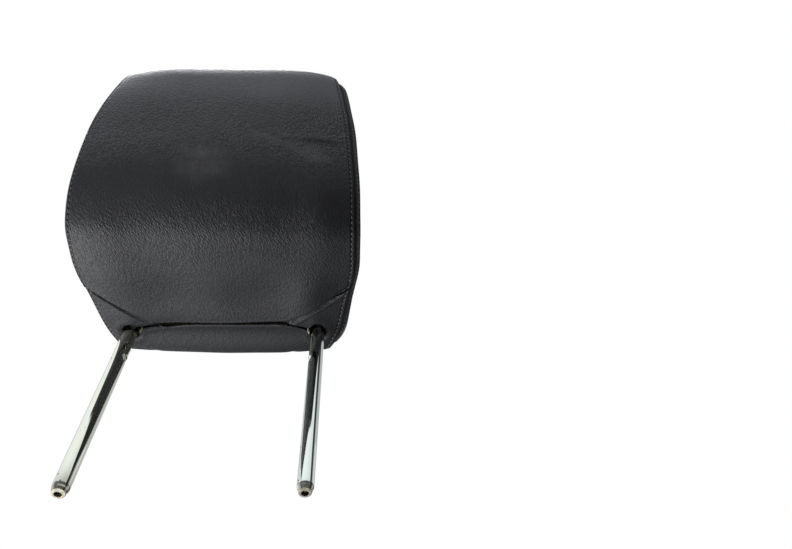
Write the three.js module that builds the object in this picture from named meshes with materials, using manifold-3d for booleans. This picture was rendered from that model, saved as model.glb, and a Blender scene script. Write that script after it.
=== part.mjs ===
// A car headrest: a leather-covered foam pad on one bent steel tube.
// Millimetres, +Z up along the posts, the pad's front faces -Y, X runs across.
// The origin lies midway between the faces of the two post tips.
import * as THREE from 'three';
import { ParametricGeometry } from 'three/addons/geometries/ParametricGeometry.js';
import { mergeVertices } from 'three/addons/utils/BufferGeometryUtils.js';
import Module from 'manifold-3d';

// Post frame
const postSpacing = 160;
const tubeDiameter = 12;
const tubeWall = 1.75;
const postExposed = 173;
const kneeAbovePad = 12;
const kneeRadius = 25;
const leanDegrees = 20;
const barAboveKnee = 78;
const bendRadius = 30;
const tipFaceDiameter = 9;
const tipBore = 5;
const tipLength = 5;
const notchBelowPad = 34.5;
const notchDepth = 2.2;
const notchRadius = 4.5;

// Pad: reaches and heights to the side seams, which lie lower than the crowned panels
const padLow = 163;
const padHeight = 196;
const frontReach = 175;
const rearReach = 28;
const seamHalfWidth = 110;
const panelCrown = 7;
const sideBulge = 6;
const seamRoll = 3;

// Leather cover
const leather = 1.6;
const seamGap = 0.3;
const foamGap = 0.9;
const topSeamReach = 45;
const lipHalfWidth = 55;
const lipReach = 16;
const cornerSeamReach = 52;
const slitWidth = 5;
const slitHalfWidth = 67;
const postHoleClearance = 2.2;

// Closing strips: two flat hook profiles that hold each other inside the slit
const stripThickness = 1.2;
const stripWeb = 13;
const stripHook = 4.5;
const stripHookRise = 4.6;
const stripAbovePad = 5.5;
const stripEndGap = 1.5;
const stripPlay = 0.4;

// Carrier: two trays clamped on the tube
const carrierHalfWidth = 92;
const carrierBelowBar = 60;
const carrierAboveBar = 14;
const carrierHalfThickness = 11;
const carrierWall = 2.5;
const carrierCorner = 16;
const ribThickness = 2.5;
const partingGap = 0.3;
const tubeClearance = 0.3;
const bossRadius = 4.5;
const bossColumn = 48;
const bossRowLow = 12;
const bossRowHigh = 42;
const screwRadius = 1.8;
const screwHeadRadius = 4;
const screwHeadHeight = 2.4;
const screwClearance = 0.3;
const cavityClearance = 0.6;

// Grid fineness
const aroundSteps = 48;
const tubeSides = 20;
const boreSides = 12;
const bendSteps = 6;
const kneeSteps = 3;
const screwSides = 16;
const overcut = 1;

// Materials
const leatherFinish = () => new THREE.MeshStandardMaterial({ color: 0x2a2a2d, roughness: 0.5, metalness: 0 });
const chromeFinish = () => new THREE.MeshStandardMaterial({ color: 0xd6d8d4, roughness: 0.08, metalness: 1 });
const foamFinish = () => new THREE.MeshStandardMaterial({ color: 0x55544f, roughness: 0.95, metalness: 0 });
const carrierFinish = () => new THREE.MeshStandardMaterial({ color: 0x1b1b1c, roughness: 0.6, metalness: 0 });
const stripFinish = () => new THREE.MeshStandardMaterial({ color: 0xc9c7b4, roughness: 0.55, metalness: 0 });
const screwFinish = () => new THREE.MeshStandardMaterial({ color: 0x9a9a98, roughness: 0.35, metalness: 1 });

const wasm = await Module();
wasm.setup();

// Closed triangle mesh with shared vertices and no collapsed faces
function weld(geometry) {
  const bare = geometry.index ? geometry.toNonIndexed() : geometry.clone();
  bare.deleteAttribute('normal');
  bare.deleteAttribute('uv');
  const merged = mergeVertices(bare, 1e-4);
  const corners = merged.index.array;
  const kept = [];
  for (let i = 0; i < corners.length; i += 3) {
    const [a, b, c] = [corners[i], corners[i + 1], corners[i + 2]];
    if (a !== b && b !== c && c !== a) kept.push(a, b, c);
  }
  merged.setIndex(kept);
  return merged;
}

// Boolean solid from a closed geometry
function solid(geometry) {
  const merged = weld(geometry);
  return new wasm.Manifold(new wasm.Mesh({
    numProp: 3,
    vertProperties: new Float32Array(merged.attributes.position.array),
    triVerts: new Uint32Array(merged.index.array),
  }));
}

// Geometry from a boolean solid
function surface(body) {
  const mesh = body.getMesh();
  const geometry = new THREE.BufferGeometry();
  geometry.setAttribute('position', new THREE.BufferAttribute(new Float32Array(mesh.vertProperties), 3));
  geometry.setIndex(new THREE.BufferAttribute(new Uint32Array(mesh.triVerts), 1));
  geometry.computeVertexNormals();
  return geometry;
}

// Join of several solids
function join(bodies) {
  return bodies.reduce((sum, body) => sum.add(body));
}

// Placed simple solids
function box(low, high) {
  const size = high.map((value, i) => value - low[i]);
  const geometry = new THREE.BoxGeometry(...size);
  geometry.translate(low[0] + size[0] / 2, low[1] + size[1] / 2, low[2] + size[2] / 2);
  return solid(geometry);
}

function rodAlongZ(radius, x, y, low, high, sides) {
  const geometry = new THREE.CylinderGeometry(radius, radius, high - low, sides);
  geometry.rotateX(Math.PI / 2);
  geometry.translate(x, y, (low + high) / 2);
  return solid(geometry);
}

function rodAlongY(radius, x, z, low, high, sides) {
  const geometry = new THREE.CylinderGeometry(radius, radius, high - low, sides);
  geometry.translate(x, (low + high) / 2, z);
  return solid(geometry);
}

// Outline in X and Y raised along Z
function prism(points, low, high) {
  const outline = new THREE.Shape(points.map(([x, y]) => new THREE.Vector2(x, y)));
  const geometry = new THREE.ExtrudeGeometry(outline, { depth: high - low, bevelEnabled: false });
  geometry.translate(0, 0, low);
  return solid(geometry);
}

// Inside the pad the frame leans forward, and the carrier with it.
// The leaning plane has its origin at the knees' height, with its own Z up along the lean.
const kneeHeight = postExposed + kneeAbovePad;
const lean = THREE.MathUtils.degToRad(leanDegrees);
const leanPlane = new THREE.Matrix4()
  .makeTranslation(0, 0, kneeHeight)
  .multiply(new THREE.Matrix4().makeRotationX(lean));

function leaned(body) {
  return body.transform(leanPlane.elements);
}

// Places along the bent tube in the leaning plane, up from one knee, round two bends and down again
function archPlaces(low) {
  const side = postSpacing / 2;
  const corner = barAboveKnee - bendRadius;
  const places = [new THREE.Vector3(-side, 0, low)];
  for (const sign of [-1, 1]) {
    for (let i = 0; i <= bendSteps; i += 1) {
      const turn = (i / bendSteps) * (Math.PI / 2);
      const angle = sign < 0 ? turn : Math.PI / 2 - turn;
      const across = side - bendRadius + bendRadius * Math.cos(angle);
      places.push(new THREE.Vector3(sign * across, 0, corner + bendRadius * Math.sin(angle)));
    }
  }
  places.push(new THREE.Vector3(side, 0, low));
  return places;
}

// Places along the whole frame: each post, its knee and the arch between them
function framePlaces(startHeight) {
  const tangent = kneeRadius * Math.tan(lean / 2);
  const arch = archPlaces(tangent).map((place) => place.applyMatrix4(leanPlane));
  const knee = (x) => {
    const places = [new THREE.Vector3(x, 0, startHeight)];
    for (let i = 0; i < kneeSteps; i += 1) {
      const angle = (i / kneeSteps) * lean;
      places.push(new THREE.Vector3(
        x,
        kneeRadius * (Math.cos(angle) - 1),
        kneeHeight - tangent + kneeRadius * Math.sin(angle),
      ));
    }
    return places;
  };
  return [...knee(-postSpacing / 2), ...arch, ...knee(postSpacing / 2).reverse()];
}

class BarRoute extends THREE.Curve {
  constructor(places) {
    super();
    this.places = places;
    this.steps = places.length - 1;
  }

  // Equal steps of the parameter run from place to place
  getUtoTmapping(u) {
    return u;
  }

  getPoint(t, target = new THREE.Vector3()) {
    const run = Math.min(Math.max(t, 0), 1) * this.steps;
    const index = Math.min(Math.floor(run), this.steps - 1);
    return target.lerpVectors(this.places[index], this.places[index + 1], run - index);
  }

  // The tangent at a place lies halfway between its two neighbours
  getTangent(t, target = new THREE.Vector3()) {
    const index = Math.round(t * this.steps);
    const here = this.places[index];
    const back = here.clone().sub(this.places[Math.max(index - 1, 0)]).normalize();
    const ahead = this.places[Math.min(index + 1, this.steps)].clone().sub(here).normalize();
    return target.addVectors(back, ahead).normalize();
  }
}

// Round bar along a row of places
function routeBar(radius, places, sides) {
  const route = new BarRoute(places);
  const section = new THREE.Shape();
  section.absarc(0, 0, radius, 0, 2 * Math.PI, false);
  return solid(new THREE.ExtrudeGeometry(section, {
    steps: route.steps,
    curveSegments: sides / 2,
    extrudePath: route,
  }));
}

// Swaged tip: a rounded shoulder from the tube down to its small end face
function postTip(x) {
  const outer = tubeDiameter / 2;
  const face = tipFaceDiameter / 2;
  const shoulderSteps = 5;
  const profile = [new THREE.Vector2(0, 0)];
  for (let i = 0; i <= shoulderSteps; i += 1) {
    const angle = (i / shoulderSteps) * (Math.PI / 2);
    const radius = face + (outer - face) * Math.sin(angle);
    profile.push(new THREE.Vector2(radius, tipLength * (1 - Math.cos(angle))));
  }
  profile.push(new THREE.Vector2(outer, tipLength + overcut));
  profile.push(new THREE.Vector2(0, tipLength + overcut));
  const geometry = new THREE.LatheGeometry(profile, tubeSides);
  geometry.rotateX(Math.PI / 2);
  geometry.translate(x, 0, 0);
  return solid(geometry);
}

function postFrame() {
  const bar = routeBar(tubeDiameter / 2, framePlaces(tipLength), tubeSides);
  const tips = [-1, 1].map((sign) => postTip((sign * postSpacing) / 2));
  const bore = routeBar(tubeDiameter / 2 - tubeWall, framePlaces(tipLength + tubeWall), boreSides);
  const tipHoles = [-1, 1].map((sign) => rodAlongZ(
    tipBore / 2,
    (sign * postSpacing) / 2,
    0,
    -overcut,
    tipLength + 2 * tubeWall,
    boreSides,
  ));
  const notchHeight = postExposed - notchBelowPad;
  const notchAxis = postSpacing / 2 - tubeDiameter / 2 + notchDepth - notchRadius;
  const notches = [-1, 1].map((sign) => rodAlongY(
    notchRadius,
    sign * notchAxis,
    notchHeight,
    -tubeDiameter,
    tubeDiameter,
    screwSides,
  ));
  return join([bar, ...tips]).subtract(join([bore, ...tipHoles])).subtract(join(notches));
}

// Side seam: the closed line that both sides of the pad share, seen from the side.
// Each point is a share of the reach ahead (negative) or behind, of the height and of the half width.
const seamShares = [
  [-0.017, 0.043, 0.909], [-0.103, 0.033, 0.936], [-0.194, 0.026, 0.96], [-0.302, 0.016, 0.979],
  [-0.406, 0.005, 0.995], [-0.509, 0.001, 1], [-0.605, 0.009, 0.998], [-0.679, 0.046, 0.995],
  [-0.743, 0.105, 0.992], [-0.797, 0.184, 0.985], [-0.843, 0.273, 0.971], [-0.886, 0.386, 0.957],
  [-0.928, 0.514, 0.937], [-0.967, 0.655, 0.901], [-0.989, 0.755, 0.877], [-1, 0.847, 0.85],
  [-0.977, 0.934, 0.809], [-0.886, 0.99, 0.773], [-0.697, 1, 0.755], [-0.474, 0.944, 0.755],
  [-0.251, 0.842, 0.782], [-0.08, 0.689, 0.836], [0.357, 0.5, 0.9], [0.821, 0.316, 0.927],
  [1, 0.173, 0.882], [0.839, 0.087, 0.836], [0.393, 0.052, 0.864],
];
const seamLine = new THREE.CatmullRomCurve3(seamShares.map(([reach, up, out]) => new THREE.Vector3(
  out * seamHalfWidth,
  reach * (reach < 0 ? frontReach : rearReach),
  padLow + up * padHeight,
)), true, 'centripetal');

// Seam point and its outward direction in the side view, at a share of the way round
function seamAt(share) {
  const turn = ((share % 1) + 1) % 1;
  const step = 0.004;
  const point = seamLine.getPoint(turn);
  const before = seamLine.getPoint((turn + 1 - step) % 1);
  const after = seamLine.getPoint((turn + step) % 1);
  const outward = new THREE.Vector2(before.z - after.z, after.y - before.y).normalize();
  return { point, outward };
}

// Centre of the D-shaped sides
const sideCentre = { y: -0.42 * frontReach, z: padLow + 0.48 * padHeight, halfWidth: 0.95 * seamHalfWidth };

// Point on a strip panel at a share across, some depth under the leather's outer face.
// The crown fades out where the panel faces down.
function stripPoint(share, across, depth, target) {
  const { point, outward } = seamAt(share);
  const crown = panelCrown * Math.min(1, 1 + outward.y) * (1 - across * across);
  const roll = seamRoll * (1 - Math.abs(across) ** 14);
  const lift = crown + roll - seamRoll - depth;
  return target.set(
    across * (point.x - seamGap - depth),
    point.y + outward.x * lift,
    point.z + outward.y * lift,
  );
}

// Point on a side panel: rim is 1 at the seam and 0 at the centre
function sidePoint(share, rim, side, depth, target) {
  const { point, outward } = seamAt(share);
  const lift = -seamRoll - seamGap - depth;
  const rimY = point.y + outward.x * lift;
  const rimZ = point.z + outward.y * lift;
  const base = THREE.MathUtils.lerp(sideCentre.halfWidth, point.x, rim ** 3);
  const swell = seamRoll * (1 - rim ** 10) + sideBulge * (1 - rim * rim);
  return target.set(
    side * (base + swell - depth),
    sideCentre.y + rim * (rimY - sideCentre.y),
    sideCentre.z + rim * (rimZ - sideCentre.z),
  );
}

const acrossStops = [-1, -0.97, -0.9, -0.66, -0.33, 0, 0.33, 0.66, 0.9, 0.97, 1];
const rimStops = [1, 0.96, 0.86, 0.6, 0.3, 0];

// The leather strip all round the pad, between its two side seams
function coverBand() {
  const last = acrossStops.length - 1;
  const turns = 2 * acrossStops.length;
  return solid(new ParametricGeometry((around, section, target) => {
    const stop = Math.round(section * turns) % turns;
    const outer = stop <= last;
    const across = acrossStops[outer ? stop : turns - 1 - stop];
    stripPoint(1 - Math.round(around * aroundSteps) / aroundSteps, across, outer ? 0 : leather, target);
  }, aroundSteps, turns));
}

// A D-shaped side panel: outer face out to the rim, then the inner face back to the centre
function sidePanel(side) {
  const last = rimStops.length - 1;
  const rows = 2 * last + 1;
  return solid(new ParametricGeometry((around, section, target) => {
    const stop = Math.round(section * rows);
    const inner = stop > last;
    const rim = rimStops[inner ? stop - last - 1 : last - stop];
    const turn = side > 0 ? around : 1 - around;
    sidePoint(Math.round(turn * aroundSteps) / aroundSteps, rim, side, inner ? leather : 0, target);
  }, aroundSteps, rows));
}

// The whole pad's skin at some depth under the leather's outer face
function padBody(depth) {
  const lastRim = rimStops.length - 1;
  const lastAcross = acrossStops.length - 1;
  const rows = 2 * lastRim + lastAcross + 2;
  return solid(new ParametricGeometry((around, section, target) => {
    const stop = Math.round(section * rows);
    const share = 1 - Math.round(around * aroundSteps) / aroundSteps;
    if (stop <= lastRim) {
      sidePoint(share, rimStops[lastRim - stop], -1, depth, target);
    } else if (stop <= lastRim + 1 + lastAcross) {
      stripPoint(share, acrossStops[stop - lastRim - 1], depth, target);
    } else {
      sidePoint(share, rimStops[stop - lastRim - lastAcross - 2], 1, depth, target);
    }
  }, aroundSteps, rows));
}

// Space of the front panel: all ahead of the slit, less the two lower corners, and up to the top seam
const farOut = 2 * seamHalfWidth;
const middleHeight = padLow + padHeight / 2;

function frontSpace(grow) {
  const slope = (cornerSeamReach - lipReach) / (0.97 * seamHalfWidth - lipHalfWidth);
  const cornerY = -lipReach - slope * (farOut - lipHalfWidth);
  const lower = prism([
    [-farOut, -2 * frontReach], [farOut, -2 * frontReach], [farOut, cornerY + grow],
    [lipHalfWidth, -lipReach + grow], [-lipHalfWidth, -lipReach + grow], [-farOut, cornerY + grow],
  ], 0, middleHeight);
  const upper = box([-farOut, -2 * frontReach, middleHeight - overcut], [farOut, -topSeamReach + grow, 2 * middleHeight]);
  return lower.add(upper);
}

// Slit between the front lip and the bottom strip, wider at its ends beside the posts
function slitSpace() {
  const back = -lipReach + slitWidth;
  const endBack = back + tubeDiameter / 2;
  return prism([
    [-lipHalfWidth, -lipReach - overcut], [lipHalfWidth, -lipReach - overcut], [slitHalfWidth, back],
    [slitHalfWidth, endBack], [lipHalfWidth, back], [-lipHalfWidth, back],
    [-slitHalfWidth, endBack], [-slitHalfWidth, back],
  ], padLow / 2, middleHeight);
}

function postHoles(clearance, high) {
  const radius = tubeDiameter / 2 + clearance;
  return join([-1, 1].map((sign) => rodAlongZ(
    radius,
    (sign * postSpacing) / 2,
    0,
    padLow / 2,
    high,
    tubeSides,
  )));
}

// Closing strips: a web sewn to the leather's edge, and a hook
const stripHalfWidth = slitHalfWidth - stripEndGap;
const stripBase = postExposed + stripAbovePad;

function hookStrip(points, flip) {
  const outline = new THREE.Shape(points.map(([y, z]) => new THREE.Vector2(y, z)));
  const geometry = new THREE.ExtrudeGeometry(outline, { depth: 2 * stripHalfWidth, bevelEnabled: false });
  geometry.translate(0, 0, -stripHalfWidth);
  geometry.rotateY(Math.PI / 2);
  geometry.rotateX(Math.PI / 2);
  if (flip) geometry.rotateX(Math.PI);
  geometry.translate(0, -lipReach + slitWidth / 2, stripBase + stripHookRise / 2);
  return solid(geometry);
}

// Outline of one hook about the strips' common centre; the other is the same one turned over
function hookOutline() {
  const half = stripHookRise / 2 + stripThickness / 2;
  const bearing = (stripHook + stripThickness + stripPlay) / 2;
  return [
    [-stripWeb, -half], [bearing, -half], [bearing, half - stripThickness - stripPlay],
    [bearing - stripHook, half - stripThickness - stripPlay],
    [bearing - stripHook, half - 2 * stripThickness - stripPlay],
    [bearing - stripThickness, half - 2 * stripThickness - stripPlay],
    [bearing - stripThickness, -half + stripThickness], [-stripWeb, -half + stripThickness],
  ];
}

// Carrier trays in the leaning plane: a floor, a rim, ribs and screw bosses, with a channel for the tube
const carrierLow = barAboveKnee - carrierBelowBar;
const carrierHigh = barAboveKnee + carrierAboveBar;

function roundedPlate(inset, near, far) {
  const outline = new THREE.Shape();
  const right = carrierHalfWidth - inset;
  const low = carrierLow + inset;
  const high = carrierHigh - inset;
  const radius = carrierCorner - inset;
  outline.moveTo(-right, low);
  outline.lineTo(right, low);
  outline.lineTo(right, high - radius);
  outline.absarc(right - radius, high - radius, radius, 0, Math.PI / 2, false);
  outline.lineTo(-right + radius, high);
  outline.absarc(-right + radius, high - radius, radius, Math.PI / 2, Math.PI, false);
  outline.lineTo(-right, low);
  const geometry = new THREE.ExtrudeGeometry(outline, { depth: far - near, bevelEnabled: false, curveSegments: 5 });
  geometry.rotateX(Math.PI / 2);
  geometry.translate(0, far, 0);
  return solid(geometry);
}

const screwPlaces = [];
for (const row of [bossRowLow, bossRowHigh]) {
  for (const sign of [-1, 1]) screwPlaces.push([sign * bossColumn, carrierLow + row]);
}

// side -1 is the front tray and 1 the rear tray
function carrierTray(side) {
  const span = (from, to) => (side < 0 ? [-to, -from] : [from, to]);
  const plate = roundedPlate(0, ...span(partingGap / 2, carrierHalfThickness));
  const pocket = roundedPlate(carrierWall, ...span(partingGap / 2 - overcut, carrierHalfThickness - carrierWall));
  const [ribNear, ribFar] = span(partingGap / 2, carrierHalfThickness - carrierWall / 2);
  const ribs = [];
  for (const x of [-bossColumn, 0, bossColumn]) {
    ribs.push(box([x - ribThickness / 2, ribNear, carrierLow + overcut], [x + ribThickness / 2, ribFar, carrierHigh - overcut]));
  }
  for (const row of [bossRowLow, bossRowHigh]) {
    const z = carrierLow + row;
    const reach = carrierHalfWidth - overcut;
    ribs.push(box([-reach, ribNear, z - ribThickness / 2], [reach, ribFar, z + ribThickness / 2]));
  }
  const bosses = screwPlaces.map(([x, z]) => rodAlongY(bossRadius, x, z, ribNear, ribFar, screwSides));
  const channel = routeBar(tubeDiameter / 2 + tubeClearance, archPlaces(0), tubeSides);
  const holes = screwPlaces.map(([x, z]) => rodAlongY(
    screwRadius + screwClearance,
    x,
    z,
    -carrierHalfThickness + carrierWall,
    carrierHalfThickness + overcut,
    screwSides,
  ));
  const sinks = screwPlaces.map(([x, z]) => rodAlongY(
    screwHeadRadius + screwClearance,
    x,
    z,
    carrierHalfThickness - screwHeadHeight - screwClearance,
    carrierHalfThickness + overcut,
    screwSides,
  ));
  return join([plate.subtract(pocket), ...ribs, ...bosses])
    .subtract(channel)
    .subtract(join([...holes, ...sinks]));
}

// A domed screw, its head sunk in the rear tray and its shank in the front boss
function carrierScrew(x, z) {
  const seat = carrierHalfThickness - screwHeadHeight;
  const tip = -carrierHalfThickness + carrierWall + screwClearance;
  const profile = [
    [0, tip], [screwRadius / 2, tip], [screwRadius, tip + screwRadius], [screwRadius, seat],
    [screwHeadRadius, seat], [screwHeadRadius, seat + screwHeadHeight / 2],
    [screwHeadRadius * 0.7, carrierHalfThickness], [0, carrierHalfThickness],
  ].map(([radius, y]) => new THREE.Vector2(radius, y));
  const geometry = new THREE.LatheGeometry(profile, screwSides);
  geometry.translate(x, 0, z);
  return solid(geometry);
}

// Foam: the pad's body less the carrier's cavity, the posts' channels and the slot below
function foamPad() {
  const cavity = box(
    [-carrierHalfWidth - cavityClearance, -carrierHalfThickness - cavityClearance, carrierLow - cavityClearance],
    [carrierHalfWidth + cavityClearance, carrierHalfThickness + cavityClearance, carrierHigh + cavityClearance],
  );
  const slotHalfWidth = stripHalfWidth + cavityClearance;
  const slotMiddle = -lipReach + slitWidth / 2;
  const slotReach = stripWeb + cavityClearance;
  const slotTop = stripBase + stripHookRise + stripThickness + cavityClearance;
  const slot = box([-slotHalfWidth, slotMiddle - slotReach, padLow / 2], [slotHalfWidth, slotMiddle + slotReach, slotTop]);
  const throat = box(
    [-slotHalfWidth, -carrierHalfThickness, slotTop - kneeHeight - stripHookRise],
    [slotHalfWidth, carrierHalfThickness, carrierLow],
  );
  const archChannel = routeBar(tubeDiameter / 2 + cavityClearance, archPlaces(-tubeDiameter / 2), tubeSides);
  return padBody(leather + foamGap)
    .subtract(slot)
    .subtract(leaned(join([cavity, throat, archChannel])))
    .subtract(postHoles(cavityClearance, kneeHeight + tubeDiameter / 2));
}

const headrest = new THREE.Group();
const carrier = new THREE.Group();
carrier.position.z = kneeHeight;
carrier.rotation.x = lean;
headrest.add(carrier);

function addPart(name, body, finish, parent = headrest) {
  const mesh = new THREE.Mesh(surface(body), finish());
  mesh.name = name;
  parent.add(mesh);
}

const band = coverBand();
const holes = postHoles(postHoleClearance, middleHeight);

addPart('post_frame', postFrame(), chromeFinish);
addPart('carrier_front', carrierTray(-1), carrierFinish, carrier);
addPart('carrier_rear', carrierTray(1), carrierFinish, carrier);
screwPlaces.forEach(([x, z], i) => {
  addPart(`carrier_screw_${i + 1}`, carrierScrew(x, z), screwFinish, carrier);
});
addPart('foam_pad', foamPad(), foamFinish);
addPart('front_cover_panel', band.intersect(frontSpace(0)), leatherFinish);
addPart('rear_cover_panel', band.subtract(frontSpace(seamGap)).subtract(slitSpace()).subtract(holes), leatherFinish);
addPart('left_side_panel', sidePanel(-1), leatherFinish);
addPart('right_side_panel', sidePanel(1), leatherFinish);
addPart('front_closing_strip', hookStrip(hookOutline(), false), stripFinish);
addPart('rear_closing_strip', hookStrip(hookOutline(), true), stripFinish);

export default headrest;
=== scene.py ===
import math

import bmesh
import bpy
import numpy as np
from mathutils import Matrix, Vector


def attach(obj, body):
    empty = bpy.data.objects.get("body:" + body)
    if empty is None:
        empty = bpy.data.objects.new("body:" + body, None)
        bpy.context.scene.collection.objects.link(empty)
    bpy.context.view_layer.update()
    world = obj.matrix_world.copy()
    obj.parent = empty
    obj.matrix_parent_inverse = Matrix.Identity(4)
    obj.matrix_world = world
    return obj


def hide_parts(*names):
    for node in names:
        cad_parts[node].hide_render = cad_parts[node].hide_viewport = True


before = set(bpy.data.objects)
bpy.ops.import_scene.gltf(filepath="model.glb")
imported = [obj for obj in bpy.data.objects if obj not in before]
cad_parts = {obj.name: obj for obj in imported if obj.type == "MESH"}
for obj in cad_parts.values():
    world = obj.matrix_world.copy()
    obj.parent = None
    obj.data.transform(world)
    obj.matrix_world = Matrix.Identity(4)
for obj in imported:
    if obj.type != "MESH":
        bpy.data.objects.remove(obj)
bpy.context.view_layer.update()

scene = bpy.context.scene
mm = 0.001


# Node sockets as Python values, so that shader maths reads as plain expressions
class Wire:
    def __init__(self, tree, socket=None):
        self.tree = tree
        self.socket = socket

    def node(self, kind, settings=None, sockets=None, output=0):
        made = self.tree.nodes.new("ShaderNode" + kind)
        for name, value in (settings or {}).items():
            setattr(made, name, value)
        for name, value in (sockets or {}).items():
            if isinstance(value, Wire):
                self.tree.links.new(value.socket, made.inputs[name])
            else:
                made.inputs[name].default_value = value
        return Wire(self.tree, made.outputs[output] if made.outputs else None)

    def maths(self, operation, *values):
        return self.node("Math", {"operation": operation}, dict(enumerate(values)))

    def __add__(self, other):
        return self.maths("ADD", self, other)

    def __sub__(self, other):
        return self.maths("SUBTRACT", self, other)

    def __rsub__(self, other):
        return self.maths("SUBTRACT", other, self)

    def __mul__(self, other):
        return self.maths("MULTIPLY", self, other)

    __radd__ = __add__
    __rmul__ = __mul__

    def smooth(self, low, high):
        return self.node("MapRange", {"interpolation_type": "SMOOTHSTEP"},
                         {"Value": self, "From Min": low, "From Max": high})

    def most(self, other):
        return self.maths("MAXIMUM", self, other)

    def blendColour(self, first, second):
        return self.node("Mix", {"data_type": "RGBA"}, {0: self, 6: first, 7: second}, output=2)

    # One part of a vector: 0 is x, 1 is y, 2 is z
    def part(self, which):
        return self.node("SeparateXYZ", None, {0: self}, output=which)

    def length(self):
        return self.node("VectorMath", {"operation": "LENGTH"}, {0: self}, output=1)

    def stretched(self, scale):
        return self.node("Mapping", None, {"Vector": self, "Scale": scale})

    def noise(self, scale, detail=2, roughness=0.5, output=0):
        return self.node("TexNoise", None, {"Vector": self, "Scale": scale, "Detail": detail,
                                            "Roughness": roughness}, output)

    def cells(self, scale, feature="F1"):
        return self.node("TexVoronoi", {"feature": feature}, {"Vector": self, "Scale": scale})

    # 1 at a place in millimetres and 0 beyond a radius
    def near(self, place, radius, squash=(1, 1, 1)):
        offset = self.node("VectorMath", {"operation": "SUBTRACT"}, {0: self, 1: [v * mm for v in place]})
        scaled = offset.node("VectorMath", {"operation": "MULTIPLY"}, {0: offset, 1: squash})
        return 1 - scaled.length().smooth(0, radius * mm)

    # The same grey for all three channels
    def grey(self):
        return self.node("CombineColor", None, {0: self, 1: self, 2: self})


def newFinish(name):
    made = bpy.data.materials.new(name)
    made.use_nodes = True
    made.node_tree.nodes.clear()
    wire = Wire(made.node_tree)
    place = wire.node("TexCoord", output=3)
    return made, wire, place


# A UV map as a vector: "skin" is metres across and along the leather, "edge" is metres from and along the side seam
def uvMap(wire, name):
    return wire.node("UVMap", {"uv_map": name})


def closeFinish(wire, sockets, bump=None, bumpDepth=0.0):
    if bump is not None:
        sockets["Normal"] = wire.node("Bump", None, {"Strength": 1.0, "Distance": bumpDepth, "Height": bump})
    shader = wire.node("BsdfPrincipled", None, sockets)
    wire.node("OutputMaterial", None, {"Surface": shader})


# Leather: drawn-out pebble grain, finer pores, dull and shiny patches, stitch pockets beside the seam, painted shade
# in the stitch holes and seam grooves, marks of use
leatherLook = {
    "dark": (0.0110, 0.0118, 0.0156, 1),
    "pale": (0.0188, 0.0202, 0.0254, 1),
    "dust": (0.13, 0.13, 0.135, 1),
    "shade": (0.0015, 0.0015, 0.0015, 1),
    "grainLong": 3.4,
    "grainWide": 1.45,
    "grainTurn": -60,
    "grainDepth": 0.31,
    "middleShare": 2.2,
    "middleFrom": (0.152, 0.180),
    "middleTo": (0.215, 0.250),
    "roughness": 0.43,
    "specular": 0.68,
    "foldEdge": 4.9,
    "smudge": ((-14, -150, 207), 29, (1.1, 1, 0.75)),
    "smudgeFoot": ((-4, -147, 197), 20, (0.8, 1, 1.2)),
    "smear": [((36, -158, 233), 11), ((48, -158, 229), 13), ((60, -157, 225), 14), ((70, -156, 219), 15),
              ((80, -154, 212), 14)],
    "smearSquash": (0.8, 1, 1.3),
}


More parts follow.
